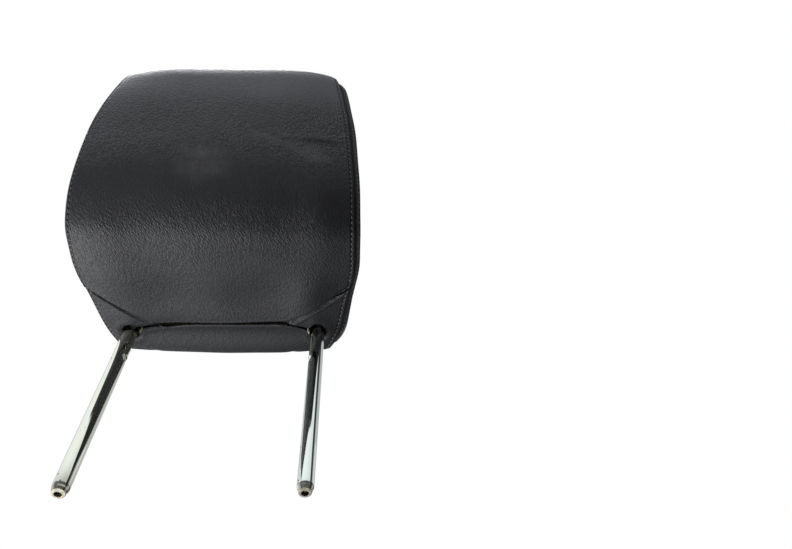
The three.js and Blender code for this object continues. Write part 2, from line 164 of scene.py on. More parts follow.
def leatherFinish(name, grainTurn=None, worn=False, share=None):
    look = leatherLook
    made, wire, place = newFinish(name)
    skin, edge = uvMap(wire, "skin"), uvMap(wire, "edge")
    walk = skin.part(1)
    warp = skin.noise(160, output=1)
    bent = skin.node("VectorMath", {"operation": "MULTIPLY_ADD"}, {0: warp, 1: (0.0022, 0.0022, 0), 2: skin})
    turn = math.radians(look["grainTurn"] if grainTurn is None else grainTurn)
    drawn = bent.node("Mapping", {"vector_type": "TEXTURE"},
                      {"Vector": bent, "Rotation": (0, 0, turn), "Scale": (look["grainLong"], look["grainWide"], 1)})
    pebbles = drawn.cells(1000)
    creases = drawn.cells(1000, "DISTANCE_TO_EDGE")
    fine = skin.noise(1300, 3, 0.6)
    patches = place.noise(20, 3, 0.55)
    uneven = place.noise(60, 2)
    grain = (1 - pebbles.smooth(0.05, 0.8)) * 0.55 + creases.smooth(0.0, 0.25) * 0.45
    depth = 0.75 + (uneven - 0.5) * 0.9
    if share:
        depth = depth * share
    else:
        middle = walk.smooth(*look["middleFrom"]) * (1 - walk.smooth(*look["middleTo"]))
        depth = depth * (1 + middle * look["middleShare"])
    height = grain * depth + fine * 0.16
    colour = (patches * 0.7 + fine * 0.3).blendColour(look["dark"], look["pale"])
    rough = look["roughness"] + (patches - 0.5) * 0.14 - (grain - 0.5) * 0.10
    if worn:
        smudge = place.near(*look["smudge"]).most(place.near(*look["smudgeFoot"]) * 0.6)
        smudge = smudge * place.noise(70, 3, 0.6).smooth(0.1, 0.75)
        rubbed = place.noise(110, 3, 0.6).smooth(0.05, 0.75)
        for spot, reach in look["smear"]:
            smudge = smudge.most(place.near(spot, reach, look["smearSquash"]) * rubbed)
        specks = (1 - place.cells(95).smooth(0.0, 0.05)) * place.noise(30, 2).smooth(0.5, 0.6)
        dust = (smudge * 1.05).most(specks * 0.8)
        colour = dust.blendColour(colour, look["dust"])
        rough = rough + dust * 0.2
    # Painted shade: the stitch holes and their channel, the groove along the side seam, the slanting seam's fold and
    # a line at its welt edge are darkened towards the shade colour, where shadow falls; the holes and channel also
    # dip the bump
    away, along = edge.part(0), edge.part(1)
    stitch = wire.maths("PINGPONG", along * (1000 / seam["stitchPitch"]), 0.5)
    across = wire.maths("ABSOLUTE", away * 1000 - seam["stitchInset"])
    hole = (1 - across.smooth(0.55, 1.25)) * stitch.smooth(0.27, 0.41)
    channel = 1 - across.smooth(0.5, 1.3)
    fold = uvMap(wire, "fold").part(0) * 1000
    grooveShade = (1 - away.smooth(0.0009, 0.0021)).most((1 - fold.smooth(0.1, 0.5)) * 0.8)
    grooveShade = grooveShade.most((1 - wire.maths("ABSOLUTE", fold - look["foldEdge"]).smooth(0.25, 0.95)) * 0.25)
    shade = (hole * 0.9).most(channel * 0.45).most(grooveShade * 0.93)
    colour = shade.blendColour(colour, look["shade"])
    rough = rough + grooveShade * 0.4
    height = height * (1 - channel) - hole * 1.2
    closeFinish(wire, {"Base Color": colour, "Roughness": rough, "Specular IOR Level": look["specular"]},
                height, look["grainDepth"] * mm)
    return made


# Chromed steel: a mirror with a faint haze, hairlines along the tube and small dark pits
chromeLook = {
    "leftPost": (0.82, 0.83, 0.71, 1),
    "rightPost": (0.80, 0.84, 0.77, 1),
    "grime": (0.50, 0.44, 0.31, 1),
    "grimeTop": 7.5,
    "pit": (0.10, 0.09, 0.08, 1),
    "roughness": 0.05,
    "depth": 0.012,
}


def chromeFinish():
    look = chromeLook
    made, wire, place = newFinish("chromed steel")
    hairs = place.stretched((1, 1, 0.04)).noise(2600, 2, 0.6)
    haze = place.noise(60, 3, 0.6)
    pits = 1 - place.stretched((1, 1, 0.6)).cells(210).smooth(0.06, 0.16)
    pits = pits * place.noise(45, 2).smooth(0.5, 0.62)
    low = 1 - place.part(2).smooth(0.5 * mm, look["grimeTop"] * mm)
    grime = low * place.noise(420, 3, 0.6).smooth(0.30, 0.62)
    metal = place.part(0).smooth(-0.02, 0.02).blendColour(look["leftPost"], look["rightPost"])
    metal = grime.blendColour(metal, look["grime"])
    colour = pits.blendColour(metal, look["pit"])
    rough = look["roughness"] + haze.smooth(0.45, 0.8) * 0.10 + pits * 0.4 + grime * 0.2
    closeFinish(wire, {"Base Color": colour, "Metallic": 1.0 - pits * 0.7, "Roughness": rough},
                hairs * 0.2 + haze * 0.3 - pits, look["depth"] * mm)
    return made


def plainFinish(name, low, high, roughness, grainScale, grainDepth, metallic=0.0):
    made, wire, place = newFinish(name)
    coarse = place.noise(40, 3, 0.6)
    grain = place.noise(grainScale, 3, 0.6)
    colour = (coarse * 0.6 + grain * 0.4).blendColour(low, high)
    closeFinish(wire, {"Base Color": colour, "Roughness": roughness + (grain - 0.5) * 0.15, "Metallic": metallic},
                grain, grainDepth * mm)
    return made


def foamFinish():
    made, wire, place = newFinish("moulded foam")
    pores = place.cells(420)
    tone = place.noise(30, 3)
    colour = (tone * 0.5 + pores * 0.5).blendColour((0.022, 0.021, 0.019, 1), (0.06, 0.058, 0.052, 1))
    closeFinish(wire, {"Base Color": colour, "Roughness": 0.9 + (pores - 0.5) * 0.1}, pores, 0.4 * mm)
    return made


def threadFinish():
    made, wire, place = newFinish("twisted thread")
    twist = place.noise(3200, 2, 0.6)
    colour = twist.blendColour((0.06, 0.06, 0.063, 1), (0.31, 0.31, 0.315, 1))
    closeFinish(wire, {"Base Color": colour, "Roughness": 0.45 + (twist - 0.5) * 0.2}, twist, 0.08 * mm)
    return made


def dress(piece, finish):
    piece.data.materials.clear()
    piece.data.materials.append(finish)


def meshPiece(bm, name, finish, replaces=()):
    mesh = bpy.data.meshes.new(name)
    bm.to_mesh(mesh)
    bm.free()
    for polygon in mesh.polygons:
        polygon.use_smooth = True
    piece = bpy.data.objects.new(name, mesh)
    scene.collection.objects.link(piece)
    dress(piece, finish)
    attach(piece, "root")
    if replaces:
        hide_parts(*replaces)
    return piece


# The closed side seam in the side view. Each place: y, z, half width and the crown between both seams
seam = {
    "places": [
        (-3, 171.5, 100, -1.5), (-18, 169.5, 103, 4.5), (-34, 168, 105.6, 4), (-52.9, 166.2, 109.2, 3.5),
        (-71, 164, 111.8, 3.5), (-89, 163.2, 112, 3.5), (-105.8, 164.8, 112, 4), (-118.8, 172.1, 111.6, 5),
        (-130.1, 183.5, 111.2, 6), (-139.4, 199, 110.4, 7), (-147.6, 216.5, 108.9, 7), (-155.1, 238.7, 107.3, 7),
        (-162.4, 263.7, 104.9, 7), (-169.3, 291.4, 100.8, 7), (-173, 311, 98, 7), (-175, 329, 95, 7),
        (-171, 346, 90.5, 6.5), (-155, 357, 86.5, 6), (-122, 359, 84, 5.5), (-83, 348, 83.5, 6),
        (-44, 328, 86, 7), (-14, 298, 92, 7), (10, 261, 99, 7), (23, 225, 102, 6),
        (28, 197, 97, 5), (23.5, 180, 92, 3), (11, 173.2, 95, -0.5),
    ],
    "gap": 0.3,
    "depth": 3.0,
    "edgeRoll": 1.35,
    "stitchInset": 3.3,
    "stitchDip": 0.75,
    "stitchPitch": 4.5,
    "stitchDipWidth": 0.85,
}


# Smooth closed curve through the places, walked by its length
def closedCurve(places):
    points = np.array(places, float)
    count = len(points)
    steps = np.linalg.norm(np.roll(points, -1, axis=0)[:, :2] - points[:, :2], axis=1)
    before = np.roll(steps, 1)
    system = np.zeros((count, count))
    rise = (np.roll(points, -1, axis=0) - points) / steps[:, None]
    for i in range(count):
        system[i, (i - 1) % count] = before[i]
        system[i, i] = 2 * (before[i] + steps[i])
        system[i, (i + 1) % count] = steps[i]
    bends = np.linalg.solve(system, 6 * (rise - np.roll(rise, 1, axis=0)))
    ahead = np.roll(bends, -1, axis=0)
    rows = []
    for i in range(count):
        t = np.linspace(0, steps[i], 60, endpoint=False)[:, None]
        h = steps[i]
        rows.append(((h - t) ** 3 * bends[i] + t ** 3 * ahead[i]) / (6 * h)
                    + (points[i] / h - bends[i] * h / 6) * (h - t)
                    + (np.roll(points, -1, axis=0)[i] / h - ahead[i] * h / 6) * t)
    dense = np.concatenate(rows + [points[:1]])
    walk = np.concatenate([[0], np.cumsum(np.linalg.norm(np.diff(dense[:, :2], axis=0), axis=1))])
    return dense, walk


seamRow, seamWalk = closedCurve(seam["places"])
seamLength = seamWalk[-1]


# y, z, half width, crown and the outward direction at a length along the seam
def seamAt(walk):
    walk = np.mod(walk, seamLength)
    y, z, half, crown = (np.interp(walk, seamWalk, seamRow[:, i]) for i in range(4))
    span = 1.2
    before = [np.interp(np.mod(walk - span, seamLength), seamWalk, seamRow[:, i]) for i in (0, 1)]
    after = [np.interp(np.mod(walk + span, seamLength), seamWalk, seamRow[:, i]) for i in (0, 1)]
    outY, outZ = before[1] - after[1], after[0] - before[0]
    size = np.hypot(outY, outZ)
    return y, z, half, crown, outY / size, outZ / size


underside = seamWalk < seamLength * 0.2


# Length along the seam at a y on the pad's underside
def walkUnder(y):
    return np.interp(-y, -seamRow[underside, 0], seamWalk[underside])


# The seam over the top, the slit's lip and strip, and the corners where the slanting seams end
back = {"topSeamY": -45, "lipHalf": 55, "lipY": -15.7, "lipTilt": -0.05, "stripY": -12.0, "stripTilt": -0.025,
        "cornerY": -54.5, "cornerX": 107.5}
topPart = (seamRow[:, 1] > 300) & (seamRow[:, 0] > -120) & (seamRow[:, 0] < 0)
topWalk = float(np.interp(back["topSeamY"], seamRow[topPart, 0], seamWalk[topPart]))


def bellAt(distance, width):
    return np.exp(-(distance / width) ** 2)


# Smooth waves that repeat on every run
def waves(u, v, seed, count=5):
    chance = np.random.default_rng(seed)
    total = np.zeros(np.broadcast(u, v).shape)
    for _ in range(count):
        ku, kv, phase = chance.uniform(-1, 1), chance.uniform(-1, 1), chance.uniform(0, 2 * math.pi)
        total = total + np.sin(2 * math.pi * (ku * u + kv * v) + phase)
    return total / count


# Where the front panel's lower edge lies, for a place across the pad
def lowerEdgeY(x):
    far = np.clip((np.abs(x) - back["lipHalf"]) / (back["cornerX"] - back["lipHalf"]), 0, 1.2)
    lip = back["lipY"] + back["lipTilt"] * np.clip(x, -back["lipHalf"], back["lipHalf"])
    return lip + (back["cornerY"] - lip) * (0.82 * far + 0.18 * far ** 2)


# How the soft pad has settled: it leans over to its left as it rises, and its left edge is fuller
settle = {"from": 188, "to": 333, "over": -0.4, "roll": 0.042, "leftFuller": 4.0, "leftFrom": 168, "leftTo": 293,
          "cornerRise": 3.2}


# From 0 at the low value to 1 at the high one, soft at both ends
def rampAt(value, low, high):
    share = np.clip((value - low) / (high - low), 0, 1)
    return share * share * (3 - 2 * share)


def settled(points):
    x, z = points[..., 0], points[..., 2]
    high = rampAt(z, settle["from"], settle["to"])
    left = np.clip(-x / 90, 0, 1.2) * rampAt(z, settle["leftFrom"], settle["leftTo"])
    moved = points.copy()
    moved[..., 0] = x + high * settle["over"] - left * settle["leftFuller"]
    corner = rampAt(x, 62, 108) * rampAt(points[..., 1], -75, -25) * (1 - rampAt(z, 180, 225))
    moved[..., 2] = z + high * settle["roll"] * x + corner * settle["cornerRise"]
    return moved


# Places on the strip between both side seams, raised by the crown and a lift
def stripSkin(walk, across, lift):
    y, z, half, crown, outY, outZ = seamAt(walk)
    power = 2 + 3.0 * rampAt(z, 223, 343)
    rise = crown * (1 - np.abs(across) ** power) + lift
    return settled(np.stack([across * (half - seam["gap"]), y + outY * rise, z + outZ * rise], axis=-1))


# The leather turns down into the side seam, and the topstitch draws it in beside the seam
def seamFall(distance):
    return (-seam["depth"] * bellAt(distance, seam["edgeRoll"])
            - seam["stitchDip"] * bellAt(distance - seam["stitchInset"], seam["stitchDipWidth"]))


print("seam length", round(seamLength, 1), "mm")


# Front panel: soft hollows (-) and swellings (+) as place across, length along, both radii and height, and one crease
frontMarks = {
    "places": [
        (-84, 60, 25, 56, 3.6), (-36, 36, 24, 34, -2.2), (-62, 112, 18, 20, -0.6), (-12, 66, 26, 34, 1.2),
        (30, 40, 20, 24, -1.4), (73, 42, 18, 26, 5.4), (84, 120, 17, 60, 1.6), (108, 125, 15, 60, -1.2),
        (22, 108, 30, 16, 0.4), (-14, 160, 26, 16, -0.5), (-30, 182, 20, 18, 0.5), (58, 182, 26, 10, 0.5),
        (2, 128, 60, 9, 0.5), (-70, 284, 30, 24, -1.0),
    ],
    "crease": [(34, 240), (42, 234), (52, 229.5), (63, 229.5), (74, 231), (92, 231.5), (106, 230)],
    "creaseDepth": 0.9,
}


def frontLift(walk, across, point):
    half = seamAt(walk)[2]
    lift = seamFall((1 - np.abs(across)) * half)
    x, y = point[..., 0], point[..., 1]
    edge = walkUnder(lowerEdgeY(x))
    fromEdge = walk - edge
    diagonal = np.clip((np.abs(x) - back["lipHalf"] + 3) / 6, 0, 1)
    lift = lift + diagonal * (-0.8 * bellAt(fromEdge, 0.6) + 0.3 * bellAt(fromEdge - 4, 3))
    lift = lift + (1 - diagonal) * (-1.4 * bellAt(fromEdge, 0.9) + 0.55 * bellAt(fromEdge - 2.2, 1.5))
    lift = lift + seamFall(np.abs(topWalk - walk))
    for markX, markWalk, wide, long, height in frontMarks["places"]:
        lift = lift + height * bellAt(np.hypot((x - markX) / wide, (walk - markWalk) / long), 1)
    crease = np.array(frontMarks["crease"], float)
    under = np.interp(x, crease[:, 0], crease[:, 1]) - point[..., 2]
    ends = rampAt(x, crease[0, 0] - 4, crease[2, 0] - 4) * (1 - rampAt(x, crease[-2, 0] - 6, crease[-1, 0]))
    valley = bellAt(under - 1.2, 1.2)
    below = -0.35 * valley - 0.75 * bellAt(under - 1.2, 11)
    above = 0.35 * bellAt(under + 2, 2.2) - 1.1 * valley
    lift = lift + frontMarks["creaseDepth"] * ends * (y < -100) * np.where(under > 1.2, below, above)
    lift = lift + 0.25 * waves(walk / 60, across * 2, 3)
    return lift


# A flat grid laid on a surface: columns and rows run from 0 to 1. Its UV maps hold the places on the leather
def layGrid(columns, rows, place, maps=None):
    bm = bmesh.new()
    bmesh.ops.create_grid(bm, x_segments=len(columns) - 1, y_segments=len(rows) - 1, size=0.5)
    bm.verts.ensure_lookup_table()
    flat = np.array([v.co[:2] for v in bm.verts]) + 0.5
    column = np.rint(flat[:, 0] * (len(columns) - 1)).astype(int)
    row = np.rint(flat[:, 1] * (len(rows) - 1)).astype(int)
    u, v = np.array(columns)[column], np.array(rows)[row]
    points = place(u, v) * mm
    for vert, point in zip(bm.verts, points):
        vert.co = point
    if maps:
        for name, values in zip(("skin", "edge", "fold"), maps(u, v)):
            layer = bm.loops.layers.uv.new(name)
            values = (values * mm).tolist()
            for face in bm.faces:
                for loop in face.loops:
                    loop[layer].uv = values[loop.vert.index]
    return bm


# Shares from 0 to 1 with closer steps near both ends, where the leather turns into a seam
def closerAtEnds(count, length, fineRun=6.0, fineStep=0.55):
    fine = np.arange(0, fineRun, fineStep) / length
    middle = np.linspace(fineRun / length, 1 - fineRun / length, count)
    return np.concatenate([fine, middle, 1 - fine[::-1]])


# Cloth run on a plain grid of the panel, held at its edges: gives how far each place moves along the normal
clothRun = {
    "frames": 20,
    "cap": 2.2,
    "evenings": 12,
    "share": 0.25,
    "settings": {
        "quality": 6, "mass": 0.2, "tension_stiffness": 12, "compression_stiffness": 12, "shear_stiffness": 8,
        "bending_stiffness": 1.2, "use_pressure": True, "uniform_pressure_force": 1.2, "shrink_min": 0.0,
        "vertex_group_mass": "held",
    },
}


def clothMove(name, place, columns, rows):
    us, vs = np.linspace(0, 1, columns), np.linspace(0, 1, rows)
    bm = layGrid(us, vs, place)
    bm.normal_update()
    mesh = bpy.data.meshes.new(name)
    bm.to_mesh(mesh)
    bm.free()
    body = bpy.data.objects.new(name, mesh)
    scene.collection.objects.link(body)
    before = np.array([v.co for v in mesh.vertices])
    normals = np.array([v.normal for v in mesh.vertices])
    held = body.vertex_groups.new(name="held")
    grid = np.arange(columns * rows).reshape(rows, columns)
    rim = np.concatenate([grid[0], grid[-1], grid[:, 0], grid[:, -1]])
    held.add([int(i) for i in rim], 1.0, "REPLACE")
    cloth = body.modifiers.new("cloth", "CLOTH")
    for setting, value in clothRun["settings"].items():
        setattr(cloth.settings, setting, value)
    cloth.settings.effector_weights.gravity = 0
    cloth.collision_settings.use_self_collision = False
    cloth.point_cache.frame_start = 1
    cloth.point_cache.frame_end = clothRun["frames"]
    for step in range(1, clothRun["frames"] + 1):
        scene.frame_set(step)
    shown = body.evaluated_get(bpy.context.evaluated_depsgraph_get())
    after = np.array([v.co for v in shown.data.vertices])
    scene.frame_set(1)
    moved = np.einsum("ij,ij->i", after - before, normals) / mm
    bpy.data.objects.remove(body)
    moved = np.clip(moved, -clothRun["cap"], clothRun["cap"]).reshape(rows, columns)
    # small puckers are evened out, and only part of the swell is kept: the leather is taut
    for _ in range(clothRun["evenings"]):
        beside = moved[:-2, 1:-1] + moved[2:, 1:-1] + moved[1:-1, :-2] + moved[1:-1, 2:]
        moved[1:-1, 1:-1] = (moved[1:-1, 1:-1] * 2 + beside) / 6
    moved = moved * clothRun["share"]
    print(name, "cloth moved", moved.min().round(2), moved.max().round(2), "mm")

    def at(u, v):
        cu, cv = np.clip(u, 0, 1) * (columns - 1), np.clip(v, 0, 1) * (rows - 1)
        iu, iv = np.minimum(cu.astype(int), columns - 2), np.minimum(cv.astype(int), rows - 2)
        fu, fv = cu - iu, cv - iv
        fu, fv = fu * fu * (3 - 2 * fu), fv * fv * (3 - 2 * fv)
        low = moved[iv, iu] * (1 - fu) + moved[iv, iu + 1] * fu
        high = moved[iv + 1, iu] * (1 - fu) + moved[iv + 1, iu + 1] * fu
        return low * (1 - fv) + high * fv
    return at


def faceOutwards(bm, outward):
    bm.normal_update()
    good = sum(1 if face.normal.dot(outward(face.calc_center_median())) > 0 else -1 for face in bm.faces)
    if good < 0:
        bmesh.ops.reverse_faces(bm, faces=bm.faces[:])


padMiddle = Vector((0, -75, 261)) * mm
leatherThickness = 1.5
edgeReach = {"front": 107, "rear": 103}


# Walls of the four leather pieces, which stand for the padded pieces of the part
def thicken(piece):
    wall = piece.modifiers.new("leather", "SOLIDIFY")
    wall.thickness = leatherThickness * mm
    wall.offset = -1
    wall.use_even_offset = False
    return piece


# Front panel: shares across and along it, to places
def frontPlace(u, v, moved=None, detail=True):
    across = 2 * u - 1
    low = walkUnder(lowerEdgeY(across * edgeReach["front"]))
    walk = low + v * (topWalk - low)
    plain = stripSkin(walk, across, np.zeros_like(walk))
    if not detail:
        return plain
    lift = frontLift(walk, across, plain)
    if moved is not None:
        lift = lift + moved(u, v)
    return stripSkin(walk, across, lift)


# Places on the leather for the finish: across and along it, from the side seam, and from the slanting seam
def skinMaps(across, walk, fromEdge):
    half = seamAt(walk)[2]
    slanting = np.abs(across) * half > back["lipHalf"] - 2
    return (np.stack([across * half + 120, walk], axis=-1),
            np.stack([(1 - np.abs(across)) * half, walk], axis=-1),
            np.stack([np.where(slanting, np.clip(fromEdge * 0.82, -1, 40), 40), 0 * walk], axis=-1))


def frontMaps(u, v):
    across = 2 * u - 1
    low = walkUnder(lowerEdgeY(across * edgeReach["front"]))
    return skinMaps(across, low + v * (topWalk - low), 30 + v * (topWalk - low))


frontLeather = leatherFinish("front leather", worn=True)
rearLeather = leatherFinish("rear leather", -35, share=0.82)
sideLeather = leatherFinish("side leather", 20, share=0.7)

frontMoved = clothMove("front cloth", lambda u, v: frontPlace(u, v, detail=False), 52, 96)
frontColumns, frontRows = closerAtEnds(110, 216), closerAtEnds(200, 400)
bm = layGrid(frontColumns, frontRows, lambda u, v: frontPlace(u, v, frontMoved), frontMaps)
faceOutwards(bm, lambda c: c - padMiddle)
frontPanel = thicken(meshPiece(bm, "frontPanel", frontLeather, ("front_cover_panel",)))
print("front panel made")


# Rear panel: the back, the strip below it and the two lower corners, with the post holes and the slit's ends
rearLook = {
    "below": 193,
    "postX": 80, "holeRadius": 7.2, "holeAhead": {-1: 1.6, 1: 4.6}, "slitFrom": (52, -13.0), "slitTo": (74, -4.5),
    "slitTilt": 2.0, "slitHalf": 1.6, "weltWidth": 5.6, "weltDepth": 2.5, "weltRidge": 0.7,
}


# Distance from the nearest rim of a post hole or of the slit's end, seen from below
def cutDistance(x, y):
    look = rearLook
    side = np.where(np.asarray(x) < 0, -1, 1)
    ahead = np.where(side < 0, look["holeAhead"][-1], look["holeAhead"][1])
    x = np.abs(x)
    drawn = np.where(np.asarray(y) < 0, y * look["holeRadius"] / (look["holeRadius"] + ahead), y)
    hole = np.hypot(x - look["postX"], drawn) - look["holeRadius"]
    startX, startY = look["slitFrom"][0], look["slitFrom"][1] - side * look["slitTilt"]
    runX, runY = look["slitTo"][0] - startX, look["slitTo"][1] - startY
    share = np.clip(((x - startX) * runX + (y - startY) * runY) / (runX ** 2 + runY ** 2), 0, 1)
    slit = np.hypot(x - startX - share * runX, y - startY - share * runY) - look["slitHalf"]
    return np.minimum(hole, slit)


def rearEdgeY(x):
    turn = np.clip((np.abs(x) - 53) / 5, 0, 1)
    turn = turn * turn * (3 - 2 * turn)
    strip = back["stripY"] + back["stripTilt"] * x + 3.5 * bellAt(x + 50, 14)
    return strip * (1 - turn) + (lowerEdgeY(x) + 0.3) * turn


def rearLift(walk, across, point):
    look = rearLook
    half = seamAt(walk)[2]
    lift = seamFall((1 - np.abs(across)) * half)
    lift = lift + seamFall(np.abs(walk - topWalk))
    x, y = point[..., 0], point[..., 1]
    edge = seamLength + walkUnder(rearEdgeY(x))
    fromEdge = edge - walk
    diagonal = np.clip((np.abs(x) - 56) / 5, 0, 1)
    fade = np.clip((108 - np.abs(x)) / 12, 0, 1)
    pucker = 1 + 0.28 * waves(x / 9, y / 30, 7) + 0.2 * waves(x / 4, y / 12, 8)
    share = np.clip(fromEdge / look["weltWidth"], 0, 1)
    welt = look["weltRidge"] * bellAt(fromEdge - look["weltWidth"], 1.3) - look["weltDepth"] * (1 - share) * pucker
    lift = lift + diagonal * fade * (welt - 0.6 * bellAt(fromEdge, 0.5))
    lift = lift - (1 - diagonal) * 1.3 * bellAt(fromEdge, 1.0)
    away = cutDistance(x, y)
    onBelow = point[..., 2] < look["below"]
    lift = lift + onBelow * (0.7 * bellAt(away - 3.2, 2.6) - 1.0 * bellAt(away, 0.8))
    lift = lift + 0.25 * waves(walk / 60, across * 2, 13)
    return lift


def rearPlace(u, v, moved=None, detail=True):
    across = 2 * u - 1
    high = seamLength + walkUnder(rearEdgeY(across * edgeReach["rear"]))
    walk = topWalk + v * (high - topWalk)
    plain = stripSkin(walk, across, np.zeros_like(walk))
    if not detail:
        return plain
    lift = rearLift(walk, across, plain)
    if moved is not None:
        lift = lift + moved(u, v)
    return stripSkin(walk, across, lift)


# Closer faces around the post holes and the slit's ends, the faces inside taken out, and the rims drawn onto the line
def openCuts(bm):
    around = [edge for edge in bm.edges if edge.verts[0].co.z < rearLook["below"] * mm and any(
        abs(cutDistance(vert.co.x / mm, vert.co.y / mm)) < 2.2 for vert in edge.verts)]
    bmesh.ops.subdivide_edges(bm, edges=around, cuts=2, use_grid_fill=True)
    inside = []
    for face in bm.faces:
        centre = face.calc_center_median() / mm
        if centre.z < rearLook["below"] and cutDistance(centre.x, centre.y) < 0:
            inside.append(face)
    bmesh.ops.delete(bm, geom=inside, context="FACES")
    for vert in bm.verts:
        x, y, z = vert.co / mm
        if not vert.is_boundary or z > rearLook["below"] or cutDistance(x, y) > 0.9:
            continue
        step = 0.01
        for _ in range(3):
            here = cutDistance(x, y)
            slopeX = (cutDistance(x + step, y) - here) / step
            slopeY = (cutDistance(x, y + step) - here) / step
            steep = max(slopeX ** 2 + slopeY ** 2, 0.2)
            x, y = x - here * slopeX / steep, y - here * slopeY / steep
        vert.co.x, vert.co.y = x * mm, y * mm


rearMoved = clothMove("rear cloth", lambda u, v: rearPlace(u, v, detail=False), 52, 60)
rearRows = np.concatenate([closerAtEnds(90, 250)[:-12] * 0.78, np.linspace(0.79, 1, 60)])
rearRows = np.unique(np.round(rearRows, 5))


def rearMaps(u, v):
    across = 2 * u - 1
    high = seamLength + walkUnder(rearEdgeY(across * edgeReach["rear"]))
    return skinMaps(across, topWalk + v * (high - topWalk), (1 - v) * (high - topWalk))


bm = layGrid(closerAtEnds(120, 210), rearRows, lambda u, v: rearPlace(u, v, rearMoved), rearMaps)
openCuts(bm)
faceOutwards(bm, lambda c: c - padMiddle)
rearPanel = thicken(meshPiece(bm, "rearPanel", rearLeather, ("rear_cover_panel",)))
print("rear panel made")


# Side panels: a round grid pulled out to the D-shaped seam. The left one lies flatter beside its seam
sideLook = {
    "centreY": -73.5, "centreZ": 257, "half": 104.5, "bulge": 5.0, "roll": {-1: 1.4, 1: 4.4}, "rollWidth": 3.0,
}


def roundPlace(u, v):
    a, b = 2 * u - 1, 2 * v - 1
    ca, cb = a * np.sqrt(1 - b * b / 2), b * np.sqrt(1 - a * a / 2)
    rim = np.hypot(ca, cb)
    walk = np.mod(np.arctan2(cb, ca) / (2 * math.pi), 1) * seamLength
    y, z, half, _, outY, outZ = seamAt(walk)
    rimY, rimZ = y - outY * seam["depth"], z - outZ * seam["depth"]
    radius = np.hypot(rimY - sideLook["centreY"], rimZ - sideLook["centreZ"])
    return rim, walk, half, rimY, rimZ, (1 - rim) * radius


def sidePlace(side, u, v, moved=None, detail=True):
    look = sideLook
    rim, walk, half, rimY, rimZ, distance = roundPlace(u, v)
    base = look["half"] + (half - look["half"]) * rim ** 3
    swell = look["bulge"] * (1 - rim ** 2)
    if detail:
        swell = swell + look["roll"][side] * (1 - bellAt(distance, look["rollWidth"]))
        swell = swell - seam["stitchDip"] * bellAt(distance - seam["stitchInset"], seam["stitchDipWidth"])
        swell = swell + 0.3 * waves(rimY / 50 * rim, rimZ / 50 * rim, 21 + side) * (1 - rim ** 4)
        if moved is not None:
            swell = swell + moved(u, v)
    return settled(np.stack([side * (base + swell - 0.2), look["centreY"] + rim * (rimY - look["centreY"]),
                             look["centreZ"] + rim * (rimZ - look["centreZ"])], axis=-1))


def sideMaps(u, v):
    rim, walk, half, rimY, rimZ, distance = roundPlace(u, v)
    return (np.stack([sideLook["centreY"] + rim * (rimY - sideLook["centreY"]) + 300,
                      sideLook["centreZ"] + rim * (rimZ - sideLook["centreZ"])], axis=-1),
            np.stack([distance, walk], axis=-1), np.stack([0 * walk + 40, 0 * walk], axis=-1))


def makeSide(side, name, node):
    moved = clothMove(name + " cloth", lambda u, v: sidePlace(side, u, v, detail=False), 46, 46)
    stops = closerAtEnds(90, 180, 7.0, 0.7)
    bm = layGrid(stops, stops, lambda u, v: sidePlace(side, u, v, moved), sideMaps)
    faceOutwards(bm, lambda c: Vector((side, 0, 0)))
    piece = thicken(meshPiece(bm, name, sideLeather, (node,)))
    return piece


leftSide = makeSide(-1, "leftSidePanel", "left_side_panel")
rightSide = makeSide(1, "rightSidePanel", "right_side_panel")
print("side panels made")


# Sewing thread: short stitches that dip into the leather at both ends
threadLook = {"length": 3.0, "width": 1.05, "height": 0.9, "sink": 0.14}


def stitchRow(bm, place, stops):
    look = threadLook
    stitch = bmesh.new()
    bmesh.ops.create_uvsphere(stitch, u_segments=8, v_segments=6, radius=1)
    loose = bpy.data.meshes.new("stitch")
    for walk in stops:
        here, ahead, behind = (np.array(place(w)) for w in (walk, walk + 0.5, walk - 0.5))
        along = Vector(ahead[0] - behind[0]).normalized()
        out = Vector(here[1]).normalized()
        across = out.cross(along).normalized()
        turn = Matrix((along, across, out)).transposed().to_4x4()
        size = Matrix.Diagonal((look["length"] / 2 * mm, look["width"] / 2 * mm, look["height"] / 2 * mm, 1))
        middle = (Vector(here[0]) + out * look["sink"]) * mm
        one = stitch.copy()
        bmesh.ops.transform(one, matrix=Matrix.Translation(middle) @ turn @ size, verts=one.verts[:])
        one.to_mesh(loose)
        one.free()
        bm.from_mesh(loose)
    stitch.free()
    bpy.data.meshes.remove(loose)


# Places where stitches lie: the pitch keeps them in the pockets that the leather's finish dips and darkens with
# painted shade
def stitchStops(low, high):
    pitch = seam["stitchPitch"]
    return np.arange(math.ceil(low / pitch), math.floor(high / pitch) + 1) * pitch


# A stitch's place and outward direction on the front or rear panel
def onStrip(walk, side, inset, lift):
    half = seamAt(np.array([walk]))[2]
    across = side * (1 - inset / half)
    def skin(w, a):
        plain = stripSkin(w, a, 0 * w)
        return stripSkin(w, a, lift(w, a, plain))[0]
    w = np.array([walk])
    spot = skin(w, across)
    toSide = skin(w, across + side * 0.004) - skin(w, across - side * 0.004)
    forward = skin(w + 0.6, across) - skin(w - 0.6, across)
    normal = np.cross(forward, toSide) * side
    _, _, _, _, outY, outZ = seamAt(w)
    if normal[1] * outY[0] + normal[2] * outZ[0] < 0:
        normal = -normal
    return spot, normal / np.linalg.norm(normal)


threadStuff = threadFinish()
bm = bmesh.new()
lowCorner = float(walkUnder(back["cornerY"]))
for side in (-1, 1):
    frontStops = stitchStops(lowCorner + 3, topWalk - 3)
    stitchRow(bm, lambda w: onStrip(w, side, seam["stitchInset"], frontLift), frontStops)
    rearStops = stitchStops(topWalk + 4, seamLength + lowCorner - 8)
    stitchRow(bm, lambda w: onStrip(w, side, seam["stitchInset"], rearLift), rearStops)
panelThread = meshPiece(bm, "panelThread", threadStuff)


